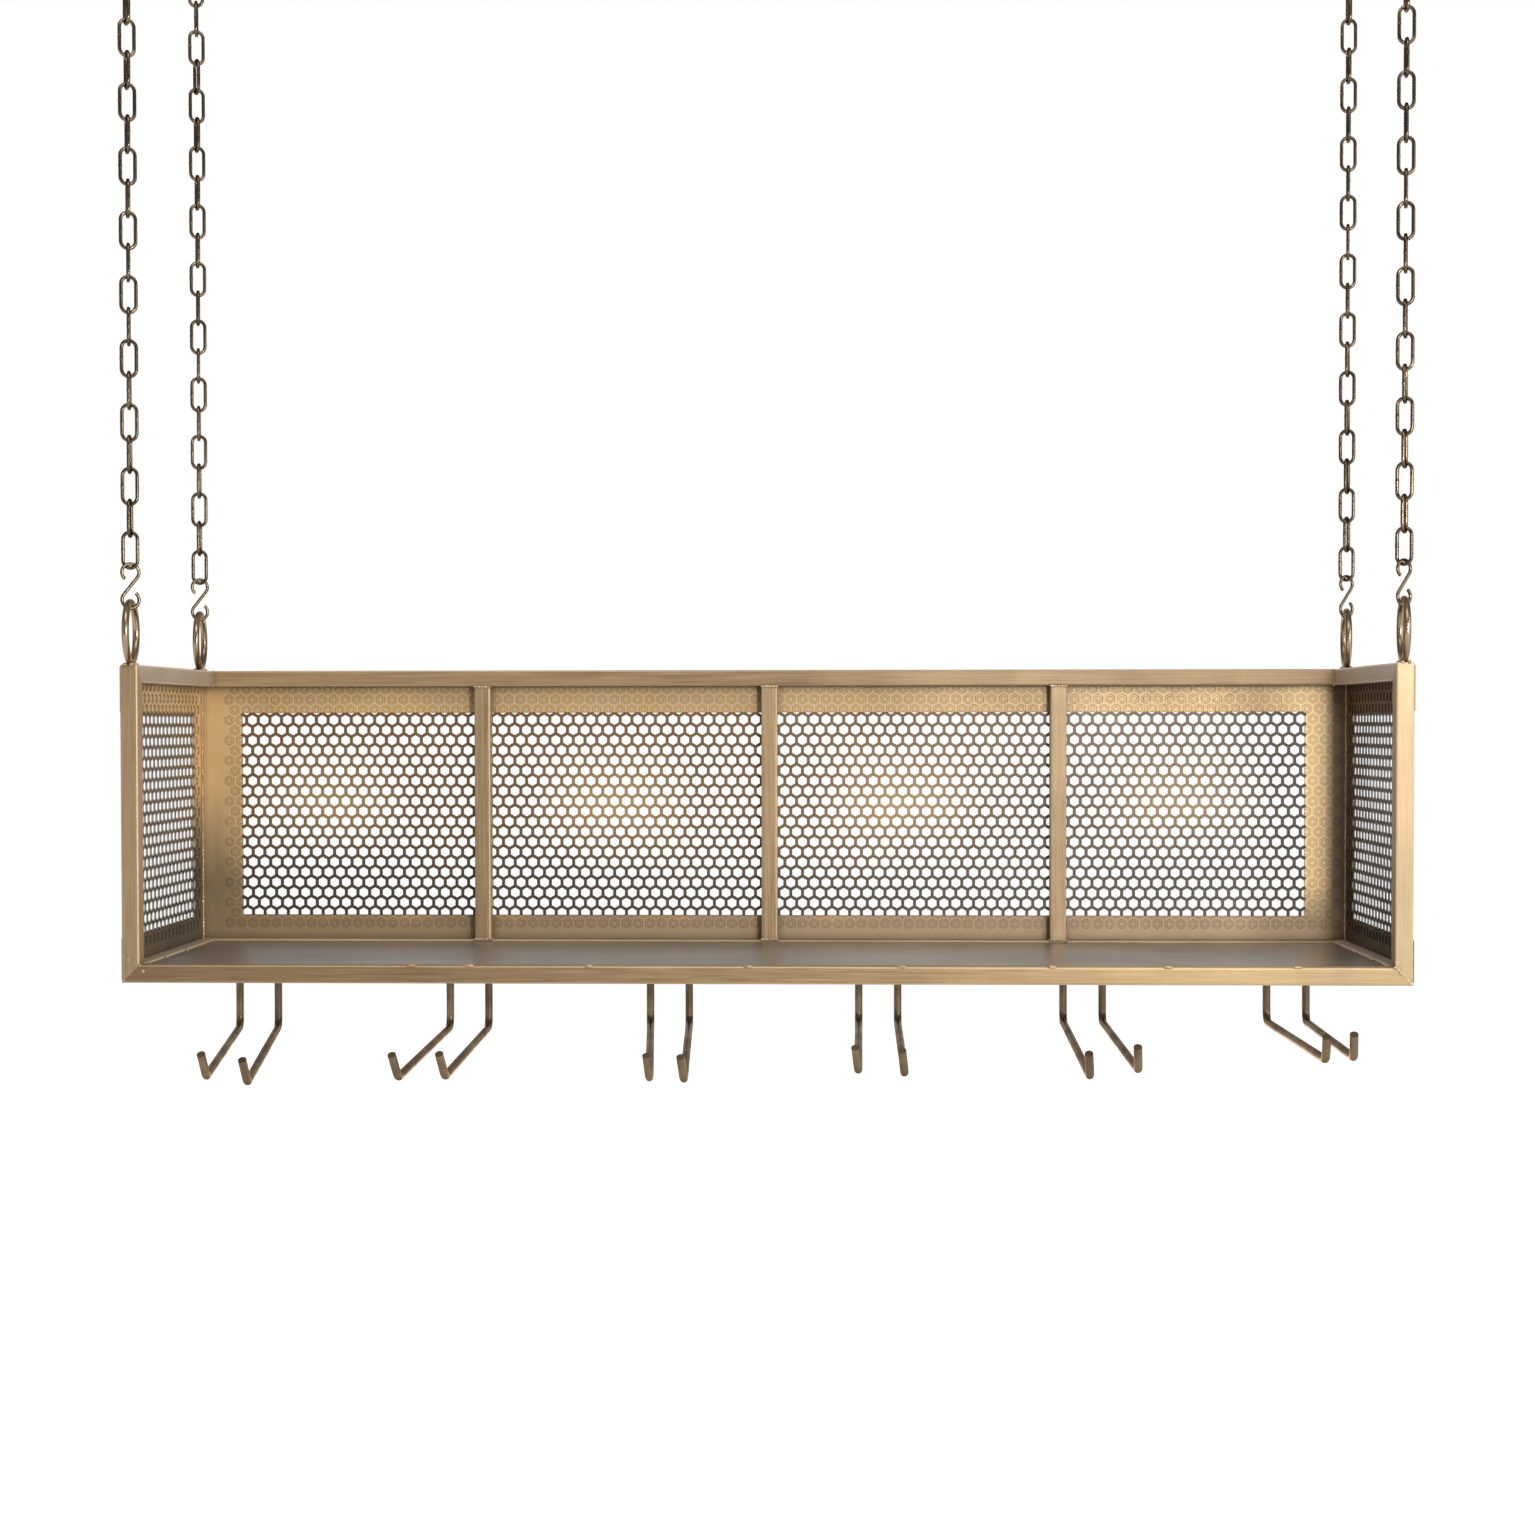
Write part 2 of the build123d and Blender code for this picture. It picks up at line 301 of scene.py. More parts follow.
def metal(name, body, dark, worn_and_highlight, rough, *, grain=even, grain_scale=900.0, bump=0.05, edge_wear_and_highlight=0.0,
          patina=14.0, shade=None, metallic=1.0, streak=0.3, fleck=0.35, crease_shade=0.0, rim=None):
    """Plated metal with a brushed grain, cloudy patina, dark flecks and bright edges, partly wear and
    partly painted highlight.

    shade takes the tree, the colour so far and the patina clouds, and gives the colour by place.
    The option for inner corners sets how far they darken, as painted shade; rim is the tint of reflections
    seen at a low angle.
    """
    material, tree = new_material(name)
    shader = tree.add("ShaderNodeBsdfPrincipled", Metallic=metallic)
    if rim:
        shader.inputs["Specular Tint"].default_value = rim
    output = tree.add("ShaderNodeOutputMaterial")
    cloud = tree.noise(patina, detail=5.0, rough=0.6)
    speck = tree.noise(speck_scale, detail=3.0, rough=0.7)
    brushed = tree.noise(grain_scale, detail=3.0, rough=0.6, stretch=grain)
    mottled = tree.blend(tree.span(cloud, *cloud_range, 0.0, 1.0), dark, body)
    specked = tree.blend(tree.span(speck, *speck_range, 0.0, fleck), mottled, dark)
    finish = tree.blend(tree.span(brushed, *brush_range, 0.0, streak), specked, worn_and_highlight)
    # Rounded edges lighter: partly wear, partly painted highlight
    if edge_wear_and_highlight:
        finish = tree.blend(tree.span(tree.flatness(), *edge_range, 0.0, edge_wear_and_highlight), finish, worn_and_highlight)
    if shade:
        finish = shade(tree, finish, cloud)
    # Painted shade: inner corners and creases darken towards near black
    if crease_shade:
        crease = tree.add("ShaderNodeAmbientOcclusion", samples=crease_rays, Distance=crease_reach)
        finish = tree.blend(tree.span(crease.outputs["AO"], *crease_range, 0.0, crease_shade), finish, soot_and_shade)
    tree.join(finish, shader.inputs["Base Color"])
    clouded = tree.span(cloud, *noise_range, *cloud_rough)
    scratched = tree.span(brushed, *noise_range, *brush_rough)
    uneven = tree.maths("ADD", clouded, scratched)
    tree.join(tree.maths("ADD", uneven, rough), shader.inputs["Roughness"])
    relief = tree.add("ShaderNodeBump", Strength=bump, Distance=relief_depth)
    tree.join(brushed, relief.inputs["Height"])
    tree.join(relief.outputs["Normal"], shader.inputs["Normal"])
    tree.join(shader.outputs["BSDF"], output.inputs["Surface"])
    return material


# Depths below the shelf's top between which a wall turns dark, and how uneven that edge is
bay_fade = (115 * MM, 175 * MM)
side_fade = (100 * MM, 160 * MM)
strip_fade = (170 * MM, 200 * MM)
side_strip_fade = (80 * MM, 170 * MM)
fade_wave = 15 * MM
fade_share = 0.9

# Painted glow of reflected light in each bay: the pitch of the bays, its middle in the first one, its size
# and its share
bay_pitch = half_width / 2
glow_x = -354 * MM
glow_z = shelf_top - 108 * MM
glow_half_height = 58 * MM
glow_share = 0.9
glow_from_cosine = -0.3

# Two places along X, and the share of the painted glow and of the painted umber shade at each
glow_along = (-0.2, 0.35, 1.0, 0.45)
right_shade_along = (-0.1, 0.38, 0.0, 0.85)

# Painted glints on the bars of the left wall
glint_cosine = 0.8
glint_share = 0.5

# Dark patch low on the left of the back strips
low_left_dark_x = -half_width + tube
low_left_dark_z = shelf_bottom + 55 * MM
low_left_dark_reach = (15 * MM, 75 * MM)
low_left_dark_narrow = 1.6
low_left_dark_share = 0.75
low_left_dark_by_cloud = (0.2, 0.6, 0.5, 1.0)


def fade_down(lower, depths):
    """Blends to a lower colour between two depths below the shelf's top, with an uneven edge."""
    def shade(tree, finish, cloud):
        wave = tree.span(cloud, *noise_range, -fade_wave, fade_wave)
        height = tree.maths("ADD", tree.axes("Object")["Z"], wave)
        share = tree.span(height, shelf_top - depths[0], shelf_top - depths[1], 0.0, fade_share)
        return tree.blend(share, finish, lower)
    return shade


def painted_light_along_x(*painted_colours):
    """Painted light and shade along X. Each colour has two places along X and its share at each."""
    def shade(tree, finish, cloud):
        across = tree.axes("Object")["X"]
        for painted_colour, *along in painted_colours:
            finish = tree.blend(tree.span(across, *along), finish, painted_colour)
        return finish
    return shade


def wave_of(tree, coordinate, crest, pitch):
    """A cosine along an axis, with one of its crests at a place."""
    turns = tree.maths("MULTIPLY", tree.maths("SUBTRACT", coordinate, crest), math.tau / pitch)
    return tree.maths("COSINE", turns)


def distance_to(tree, coordinate, place):
    return tree.maths("ABSOLUTE", tree.maths("SUBTRACT", coordinate, place))


def bay_glow(tree, finish, cloud):
    """A painted golden glow of reflected light in the middle of each bay of the back wall, painted shade
    darker to the right, and a dark lower part.
    """
    spot = tree.axes("Object")
    across = tree.span(wave_of(tree, spot["X"], glow_x, bay_pitch), glow_from_cosine, 1.0, 0.0, 1.0)
    rise = distance_to(tree, spot["Z"], glow_z)
    patch = tree.maths("MULTIPLY", across, tree.span(rise, 0.0, glow_half_height, glow_share, 0.0))
    glow = tree.maths("MULTIPLY", patch, tree.span(spot["X"], *glow_along))
    darker_right = tree.blend(tree.span(spot["X"], *right_shade_along), finish, umber)
    return fade_down(umber, bay_fade)(tree, tree.blend(glow, darker_right, bars_gold), cloud)


def left_rows(tree, finish, cloud):
    """Painted glints on the bars between the holes of one row, dark between the rows, darker low down."""
    rows = wave_of(tree, tree.axes("Object")["Z"], first_row_z, hex_row)
    glint = tree.span(rows, 0.0, glint_cosine, 0.0, glint_share)
    return tree.blend(glint, fade_down(umber, side_fade)(tree, finish, cloud), bare_and_glint)


# Back strips: darker to the right, a painted pool of light before the right end and a painted shadow in the
# right corner
strip_painted_light = painted_light_along_x(
    (plate_dull, -0.35, 0.2, 0.0, 0.85),
    (plate_lit, 0.39, 0.42, 0.0, 0.95),
    (soot_and_shade, 0.44, 0.448, 0.0, 0.75),
)


def strip_shade(tree, finish, cloud):
    """Darker to the right, then a painted pool of light and a painted shadow at the right end, with a dark
    patch low on the left.
    """
    lit_and_shaded = strip_painted_light(tree, finish, cloud)
    spot = tree.axes("Object")
    aside = tree.maths("MULTIPLY", distance_to(tree, spot["X"], low_left_dark_x), low_left_dark_narrow)
    reach = tree.maths("ADD", aside, distance_to(tree, spot["Z"], low_left_dark_z))
    near = tree.span(reach, *low_left_dark_reach, low_left_dark_share, 0.0)
    low_left_dark = tree.maths("MULTIPLY", near, tree.span(cloud, *low_left_dark_by_cloud))
    return fade_down(plate_low, strip_fade)(tree, tree.blend(low_left_dark, lit_and_shaded, umber), cloud)


def tube_finish(name, body, dark, grain, *painted_colours):
    return metal(
        name, body, dark, brass_worn_and_highlight, rough=0.46, grain=grain, edge_wear_and_highlight=0.6,
        shade=painted_light_along_x(*painted_colours), metallic=satin, crease_shade=seam,
    )


def sheet_finish(name, body, dark, worn_and_highlight, shade, rough=0.48, crease_shade=0.0):
    return metal(
        name, body, dark, worn_and_highlight, rough=rough, grain_scale=420.0, bump=0.04, patina=9.0,
        shade=shade, metallic=satin, crease_shade=crease_shade,
    )


def strip_finish(name, body, dark, worn_and_highlight, shade):
    return sheet_finish(name, body, dark, worn_and_highlight, shade, rough=0.50, crease_shade=seam)


def edge_finish(name, body, dark, rough, metallic):
    return metal(name, body, dark, body, rough=rough, grain_scale=420.0, bump=0.02, metallic=metallic)


def wire_finish(name, body, dark, worn_and_highlight, rough, rim):
    return metal(
        name, body, dark, worn_and_highlight, rough=rough, grain_scale=1500.0, bump=0.02, patina=30.0,
        streak=0.07, fleck=0.09, rim=rim,
    )


# Front rail: painted shade on its left, painted highlight on its right
front_rail = tube_finish(
    "brass_front_rail", brass, brass_dark, long_x,
    (soot_and_shade, -0.45, 0.2, 0.30, 0.0), (brass_worn_and_highlight, 0.1, 0.45, 0.0, 0.2),
)
# Back rail: painted shade towards its right, painted highlight on its left
back_rail = tube_finish(
    "brass_back_rail", brass, brass_dark, long_x,
    (soot_and_shade, -0.4, 0.0, 0.0, 0.25), (brass_worn_and_highlight, -0.45, 0.0, 0.18, 0.0),
)
# Side rails: paler to the right, painted light
side_rail = tube_finish(
    "brass_side_rail", rail_grey, rail_grey_dark, long_y,
    (rail_pale, -0.45, 0.45, 0.28, 0.5),
)
# Posts: painted highlight at the right end and a little at the left end
upright = tube_finish(
    "brass_upright", post_brass, post_dark, long_z,
    (brass_worn_and_highlight, 0.3, 0.45, 0.0, 0.2), (brass_worn_and_highlight, -0.45, -0.3, 0.12, 0.0),
)
back_sheet = sheet_finish("brass_open_sheet", bars, bars_dark, brass, bay_glow)
# Left and right walls: the left strip and cut edges are lighter copies, painted light; the right sheet,
# strip and cut edges are darker copies, painted shade
left_sheet = sheet_finish("brass_left_sheet", bars_dark, umber, brass, left_rows)
right_sheet = sheet_finish("brass_right_sheet", umber, soot_and_shade, bars, fade_down(soot_and_shade, side_fade))
left_edge = edge_finish("bright_cut_edge", bare_and_glint, steel_worn, rough=0.5, metallic=0.2)
right_edge = edge_finish("dark_cut_edge", bare_dark, soot_and_shade, rough=0.45, metallic=0.5)
# Painted shade in the plugs' grooves and rings
groove_painted_shade = sheet_finish("groove_painted_shade", groove, groove, umber, None)
side_strip_shade = fade_down(umber, side_strip_fade)
back_strip = strip_finish("brass_strip", plate, plate_dark, brass_worn_and_highlight, strip_shade)
left_strip = strip_finish("brass_left_strip", plate_lit, plate_lit_dark, brass_worn_and_highlight, side_strip_shade)
right_strip = strip_finish("brass_right_strip", bars, bars_dark, brass, side_strip_shade)
floor_sheet = metal(
    "brushed_floor_sheet", steel, steel_dark, steel_worn, rough=0.33, grain=long_x,
    grain_scale=700.0, bump=0.06, patina=6.0, metallic=0.7, crease_shade=seam,
)
weld_metal = metal(
    "brass_weld", weld_brass, brass, brass_worn_and_highlight, rough=0.34, bump=0.1, patina=120.0, metallic=satin
)
rod_wire = wire_finish("brass_rod", rod_brass, rod_dark, brass_worn_and_highlight, rough=0.36, rim=rim_pale)
chain_wire = wire_finish("bronze_chain", bronze, bronze_dark, bronze_worn, rough=0.21, rim=rim_brown)
ring_wire = wire_finish("brass_ring", ring_brass, ring_dark, brass_worn_and_highlight, rough=0.26, rim=rim_pale)
hook_wire = wire_finish("bright_hook", hook_brass, rod_dark, brass_worn_and_highlight, rough=0.20, rim=rim_brown)

# Finishes of the frame's nodes by what their names start and end with, the first that fits
finish_rules = (
    ("front_bottom_rail", "", front_rail),
    ("back", "_rail", back_rail),
    ("", "_rail", side_rail),
    ("", "_post", upright),
    ("divider", "", upright),
    ("shelf_floor", "", floor_sheet),
    ("", "_mesh", back_sheet),
    ("", "_strips", back_sheet),
    ("glass_rod", "", rod_wire),
    ("", "_ring", ring_wire),
    ("", "_s_hook", hook_wire),
    ("", "", chain_wire),
)


def finish_for(name):
    for start, end, finish in finish_rules:
        if name.startswith(start) and name.endswith(end):
            return finish


def dress_nodes():
    for name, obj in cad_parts.items():
        obj.data.materials.clear()
        obj.data.materials.append(finish_for(name))


def flat_outline(x, z, radius, sides):
    """Corners of a regular outline, from its top round."""
    turns = [math.radians(360 / sides * number) for number in range(sides)]
    return [Vector((x + radius * math.sin(turn), z + radius * math.cos(turn))) for turn in turns]


def hex_outline(x, z, flats):
    return flat_outline(x, z, flats / math.sqrt(3), hex_sides)


def hex_centres(field, phase):
    """Places of the holes in a field between two corners, with every other row half a pitch along."""
    (left, bottom), (right, top) = field
    first = math.floor((first_row_z - top) / hex_row)
    last = math.ceil((first_row_z - bottom) / hex_row)
    for row in range(first, last + 1):
        z = first_row_z - row * hex_row
        if not bottom <= z <= top:
            continue
        shift = phase + (row % 2) * hex_pitch / 2
        start = math.ceil((left - shift) / hex_pitch)
        end = math.floor((right - shift) / hex_pitch)
        for column in range(start, end + 1):
            yield shift + column * hex_pitch, z


def perforated_sheet(low, high, centres):
    """Flat triangles between two corners, with a six-sided hole about each centre."""
    points = [Vector(low), Vector((high[0], low[1])), Vector(high), Vector((low[0], high[1]))]
    edges = [(0, 1), (1, 2), (2, 3), (3, 0)]
    first_hole = len(points)
    for x, z in centres:
        base = len(points)
        points += hex_outline(x, z, hex_flats)
        edges += [(base + side, base + (side + 1) % hex_sides) for side in range(hex_sides)]
    flat_points, _, faces, sources, _, _ = delaunay_2d_cdt(points, edges, [], 1, point_merge)
    # A triangle with all its corners on one hexagon lies in the hole
    owner = [(ids[0] - first_hole) // hex_sides for ids in sources]
    kept = [face for face in faces if owner[face[0]] < 0 or len({owner[index] for index in face}) > 1]
    return flat_points, kept


# Numbers of a wall's finishes, and of the finishes of its strips
open_face = 0
closed_face = 1
cut_face = 2
pad_face = 0
groove_face = 1


def within(window, point):
    return all(window[0][axis] < point[axis] < window[1][axis] for axis in range(2))


def sheet_mesh(flat, place, thickness, window):
    """Thickens flat triangles. place turns a flat point and a depth into a point of the part.

    Faces and cut edges in the window of open holes have finishes of their own.
    """
    points, faces = flat
    bm = bmesh.new()
    fronts = [bm.verts.new(place(*point, 0.0)) for point in points]
    backs = [bm.verts.new(place(*point, thickness)) for point in points]
    sides = {}
    for face in faces:
        around = list(face)
        middle = sum((points[index] for index in around), Vector((0, 0))) / len(around)
        finish = open_face if within(window, middle) else closed_face
        bm.faces.new([fronts[index] for index in around]).material_index = finish
        bm.faces.new([backs[index] for index in reversed(around)]).material_index = finish
        sides.update(dict.fromkeys(zip(around, around[1:] + around[:1])))
    # A side that no neighbour passes the other way is a cut edge
    for one, two in sides:
        if (two, one) not in sides:
            wall = bm.faces.new([fronts[two], fronts[one], backs[one], backs[two]])
            wall.material_index = cut_face if within(window, points[one]) else closed_face
    bmesh.ops.recalc_face_normals(bm, faces=bm.faces)
    return bm


def add_box(bm, corner, opposite):
    low = Vector([min(pair) for pair in zip(corner, opposite)])
    high = Vector([max(pair) for pair in zip(corner, opposite)])
    size = Matrix.Diagonal((*(high - low), 1.0))
    bmesh.ops.create_cube(bm, size=1.0, matrix=Matrix.Translation((low + high) / 2) @ size)


def outside_window(points, centre, window):
    """The part of a flat outline beyond the edge of the window that its centre has crossed furthest."""
    crossed = []
    for axis in range(2):
        crossed.append((window[0][axis] - centre[axis], axis, -1, window[0][axis]))
        crossed.append((centre[axis] - window[1][axis], axis, 1, window[1][axis]))
    depth, axis, way, edge = max(crossed)
    if depth < 0:
        return []
    kept = []
    for one, two in zip(points, points[1:] + points[:1]):
        here = way * (one[axis] - edge)
        there = way * (two[axis] - edge)
        if here >= 0:
            kept.append(one)
        if (here < 0) != (there < 0):
            kept.append(one.lerp(two, here / (here - there)))
    return kept


def add_pad(bm, outline, place, low, high, top_finish):
    """A low pad on a flat outline between two heights, with near black sides, painted shade."""
    foot, top = [[bm.verts.new(place(*point, height)) for point in outline] for height in (low, high)]
    for index in range(len(outline)):
        after = (index + 1) % len(outline)
        side = bm.faces.new([foot[index], foot[after], top[after], top[index]])
        side.material_index = groove_face
    bm.faces.new(top).material_index = top_finish


def add_plug(bm, x, z, place, window, rise):
    """What fills a closed hole: a six-sided pad in a groove, with a round pad in a ring on it; groove and
    ring are near black, painted shade.
    """
    layers = (
        (hex_outline(x, z, hex_flats), 0.0, groove_rise, groove_face),
        (hex_outline(x, z, plug_flats), groove_rise, rise, pad_face),
        (flat_outline(x, z, plug_ring, round_sides), rise, rise + groove_rise, groove_face),
        (flat_outline(x, z, plug_round, round_sides), rise + groove_rise, rise * plug_crown, pad_face),
    )
    for outline, low, high, top_finish in layers:
        kept = outside_window(outline, (x, z), window)
        if len(kept) > 2:
            add_pad(bm, kept, place, low, high, top_finish)


def build_wall(name, run, face, way, field_run, window_run, phase, finishes, rise):
    """A perforated sheet, and the strips and plugs that close its outer holes.

    run is the axis along the wall, face the axis through it and way the direction out of the shelf.
    The finishes are those of the open field, the closed border and the cut edges.
    """
    low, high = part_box(f"{name}_mesh")
    strip_low, strip_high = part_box(f"{name}_border_strips")
    inner = low[face] if way > 0 else high[face]
    outer = strip_high[face] if way > 0 else strip_low[face]

    def place(along, z, depth):
        point = [0, 0, z]
        point[run] = along
        point[face] = inner + way * depth
        return point

    def on_strip(along, z, height):
        return place(along, z, strip_depth - height)

    window = ((window_run[0], open_z[0]), (window_run[1], open_z[1]))
    centres = list(hex_centres(((field_run[0], field_z[0]), (field_run[1], field_z[1])), phase))
    flat = perforated_sheet((low[run], low.z), (high[run], high.z), centres)
    bm = sheet_mesh(flat, place, high[face] - low[face], window)
    add_piece(f"{name}_wall", bm, finishes, "shelf", [f"{name}_mesh"], smooth=False)

    start = strip_low[run] + strip_inset
    end = strip_high[run] - strip_inset
    strips = (
        (start, open_z[1], end, strip_high.z - strip_inset),
        (start, strip_low.z + strip_inset, end, open_z[0]),
        (start, open_z[0], window_run[0], open_z[1]),
        (window_run[1], open_z[0], end, open_z[1]),
    )
    bm = bmesh.new()
    for left, bottom, right, top in strips:
        # The side walls are open up to the posts, so they have no strip there
        if left < right:
            add_box(bm, place(left, bottom, strip_depth), place(right, top, way * (outer - inner)))
    for along, z in centres:
        add_plug(bm, along, z, on_strip, window, rise)
    closed = (finishes[1], groove_painted_shade)
    replaced = [f"{name}_border_strips"]
    add_piece(f"{name}_strips", bm, closed, "shelf", replaced, smooth=False)


def build_walls():
    build_wall(
        "back", run=x_axis, face=y_axis, way=1, field_run=back_field, window_run=(-open_x, open_x),
        phase=back_phase, finishes=(back_sheet, back_strip, back_sheet), rise=back_plug_rise,
    )
    low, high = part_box("left_mesh")
    field = (low.y + side_margin, high.y - side_margin)
    window = (low.y - hex_pitch, open_back)
    # The left wall's finishes carry painted light, the right wall's painted shade
    sides = (
        ("left", -1, (left_sheet, left_strip, left_edge)),
        ("right", 1, (right_sheet, right_strip, right_edge)),
    )
    for name, way, finishes in sides:
        build_wall(
            name, run=y_axis, face=x_axis, way=way, field_run=field, window_run=window,
            phase=front_y, finishes=finishes, rise=side_plug_rise,
        )


def closed_tube(bm, points, radii, sides):
    """A round tube along a closed line, with its frame carried along without twist."""
    count = len(points)
    turns = [math.tau * number / sides for number in range(sides)]
    rings = []
    normal = None
    for index, (point, radius) in enumerate(zip(points, radii)):
        along = (points[(index + 1) % count] - points[index - 1]).normalized()
        if normal is None:
            normal = along.orthogonal().normalized()
        normal = (normal - along * normal.dot(along)).normalized()
        across = along.cross(normal)
        spokes = [normal * math.cos(turn) + across * math.sin(turn) for turn in turns]
        rings.append([bm.verts.new(point + radius * spoke) for spoke in spokes])
    for one, two in zip(rings, rings[1:] + rings[:1]):
        for side in range(sides):
            after = (side + 1) % sides
            bm.faces.new([one[side], one[after], two[after], two[side]])


def link_path(width, height):
    """Centre line of a link in the XZ plane, with the middle of its top wire at the origin."""
    bow = width / 2
    straight = height - 2 * bow
    shares = [step / link_bow_steps for step in range(link_bow_steps + 1)]
    points = []
    for share in shares:
        turn = math.pi * (1 - share)
        points.append(Vector((bow * math.cos(turn), 0, bow * math.sin(turn) - bow)))
    points += [Vector((bow, 0, -bow - straight * share)) for share in link_leg_places]
    for share in shares:
        turn = -math.pi * share
        points.append(Vector((bow * math.cos(turn), 0, bow * math.sin(turn) - height + bow)))
    points += [Vector((-bow, 0, -height + bow + straight * share)) for share in link_leg_places]
    return points


def build_chain(corner):
    """The links of one chain, each with a small weld on one leg, turned a little from link to link."""
    low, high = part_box(f"{corner}_top_link")
    chain_low, chain_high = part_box(f"{corner}_chain")
    wire = high.y - low.y
    width = high.x - low.x - wire
    height = high.z - low.z - wire
    step = height - wire - link_gap
    middle = (low + high) / 2
    top_z = high.z - wire / 2
    count = round((chain_high.z - chain_low.z - height - wire) / step) + 1
    path = link_path(width, height)
    weld = Vector((-width / 2, 0, -height / 2))
    swells = [math.exp(-((point - weld).length / link_weld_reach) ** 2) for point in path]
    radii = [wire / 2 * (1 + link_weld_swell * swell) for swell in swells]
    start_turn = twist_start[corner.split("_")[1]]
    for name, first, last in (("top_link", 0, 0), ("chain", 1, count)):
        bm = bmesh.new()
        for number in range(first, last + 1):
            twist = start_turn * min(number / twist_ramp, 1.0)
            twist += twist_span * max(number - 1, 0) / max(count - 1, 1)
            turn = math.pi / 2 * (number % 2) + twist
            place = Matrix.Translation((middle.x, middle.y, top_z - number * step))
            place = place @ Matrix.Rotation(turn, 4, "Z")
            closed_tube(bm, [place @ point for point in path], radii, link_sides)
        body = f"{corner}_{name}_body"
        add_piece(f"{corner}_{name}_links", bm, (chain_wire,), body, [f"{corner}_{name}"])


# Waves on a weld bead, on a ball of radius one: their number, height, rate and start in radians
bead_waves = 4
bead_wave_height = 0.06
bead_wave_rate = (4, 10)
bead_wave_start = (0, 6.3)

# Sizes of the beads of one seam as shares, and how far they lie off its line in millimetres
seam_size_range = (0.85, 1.15)
seam_shift = 0.15


def ball():
    """Corners and faces of a ball of radius one, shared by all the beads."""
    bm = bmesh.new()
    bmesh.ops.create_icosphere(bm, subdivisions=3, radius=1.0)
    points = [vert.co.copy() for vert in bm.verts]
    faces = [[vert.index for vert in face.verts] for face in bm.faces]
    bm.free()
    return points, faces


ball_points, ball_faces = ball()


def bead(bm, centre, size, seed):
    """A small uneven weld bead about a point. Its size is in millimetres."""
    draw = random.Random(seed)
    waves = []
    for _ in range(bead_waves):
        rate = draw.uniform(*bead_wave_rate)
        start = draw.uniform(*bead_wave_start)
        waves.append((rate, start, draw.choice((0, 1, 2))))
    verts = []
    for ball_point in ball_points:
        turns = [rate * ball_point[axis] + start for rate, start, axis in waves]
        swell = 1 + sum(bead_wave_height * math.sin(turn) for turn in turns)
        point = [centre[axis] + ball_point[axis] * size[axis] * MM * swell for axis in range(3)]
        verts.append(bm.verts.new(point))
    for face in ball_faces:
        bm.faces.new([verts[index] for index in face])


def bead_row(bm, start, end, count, size, seed):
    """A weld seam: beads that overlap from start to end, each a little off the line."""
    draw = random.Random(seed)
    for number in range(count):
        point = Vector(start).lerp(Vector(end), number / (count - 1))
        point += Vector([draw.uniform(-seam_shift, seam_shift) * MM for _ in range(3)])
        bead(bm, point, [length * draw.uniform(*seam_size_range) for length in size], seed + number)


def weld_floor(bm):
    """Tacks that hold the floor sheet, along the top of the front rail and behind it."""
    front_places = (-249.5, -208, -123.5, -10, 99, 204.5, 286, 376.5)
    front_size = (3.2, 1.5, 1.3)
    y = front_y + 0.8 * MM
    z = rail_high.z + 0.1 * MM
    for index, x in enumerate(front_places):
        bead(bm, (x * MM, y, z), front_size, seed=index)
    inner_places = (-390, -300, -150, 30, 140, 260, 330)
    inner_size = (3.0, 1.4, 1.0)
    y = rail_high.y + 0.6 * MM
    z = rail_high.z - 1.0 * MM
    for index, x in enumerate(inner_places):
        bead(bm, (x * MM, y, z), inner_size, seed=100 + index)


def weld_dividers(bm):
    """Seams across the front and along the sides of each divider's ends."""
    half_seam = tube * 0.42
    side_seam = tube * 0.7
    inset = 0.3 * MM
    top_size = (1.7, 0.9, 1.1)
    foot_size = (1.4, 0.7, 0.8)
    side_size = (0.8, 1.4, 0.9)
    for index, name in enumerate(("divider_1", "divider_2", "divider_3")):
        low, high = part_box(name)
        middle = (low.x + high.x) / 2
        y = low.y - 0.1 * MM
        ends = ((high.z, -1, top_size), (low.z, 1, foot_size))
        for number, (end, way, size) in enumerate(ends):
            seed = 200 + 20 * index + 10 * number
            z = end + way * inset
            bead_row(bm, (middle - half_seam, y, z), (middle + half_seam, y, z), 5, size, seed)
            for side in (-1, 1):
                x = middle + side * tube / 2
                bead_row(bm, (x, low.y, end), (x, low.y + side_seam, end), 4, side_size, seed + 5 + side)


def weld_rings(bm):
    """Seams on both sides of the rings' feet."""
    half_seam = 6 * MM
    aside = 2.3 * MM
    size = (1.5, 2.0, 1.3)
    for index, corner in enumerate(corners):
        low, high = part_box(f"{corner}_ring")
        middle = (low + high) / 2
        z = low.z + 0.3 * MM
        for number, side in enumerate((-1, 1)):
            x = middle.x + side * aside
            seed = 300 + 20 * index + 10 * number
            bead_row(bm, (x, middle.y - half_seam, z), (x, middle.y + half_seam, z), 5, size, seed)


def weld_front_corners(bm):
    """A mitre seam at the right front corner, and spots of filler at the left one."""
    mitre_start = (half_width - tube, front_y + 0.1 * MM, shelf_bottom + tube)
    mitre_end = (half_width - 1.4 * MM, front_y + 0.3 * MM, shelf_bottom + 1.4 * MM)
    mitre_size = (1.1, 0.55, 1.1)
    bead_row(bm, mitre_start, mitre_end, 11, mitre_size, seed=400)
    filler_places = ((-452.6, 16.5), (-441.6, 8.5), (-444.0, 12.6), (-455.5, 2.5))
    filler_size = (0.9, 0.5, 1.3)
    y = front_y + 0.1 * MM
    for index, (x, z) in enumerate(filler_places):
        bead(bm, (x * MM, y, shelf_bottom + z * MM), filler_size, seed=420 + index)


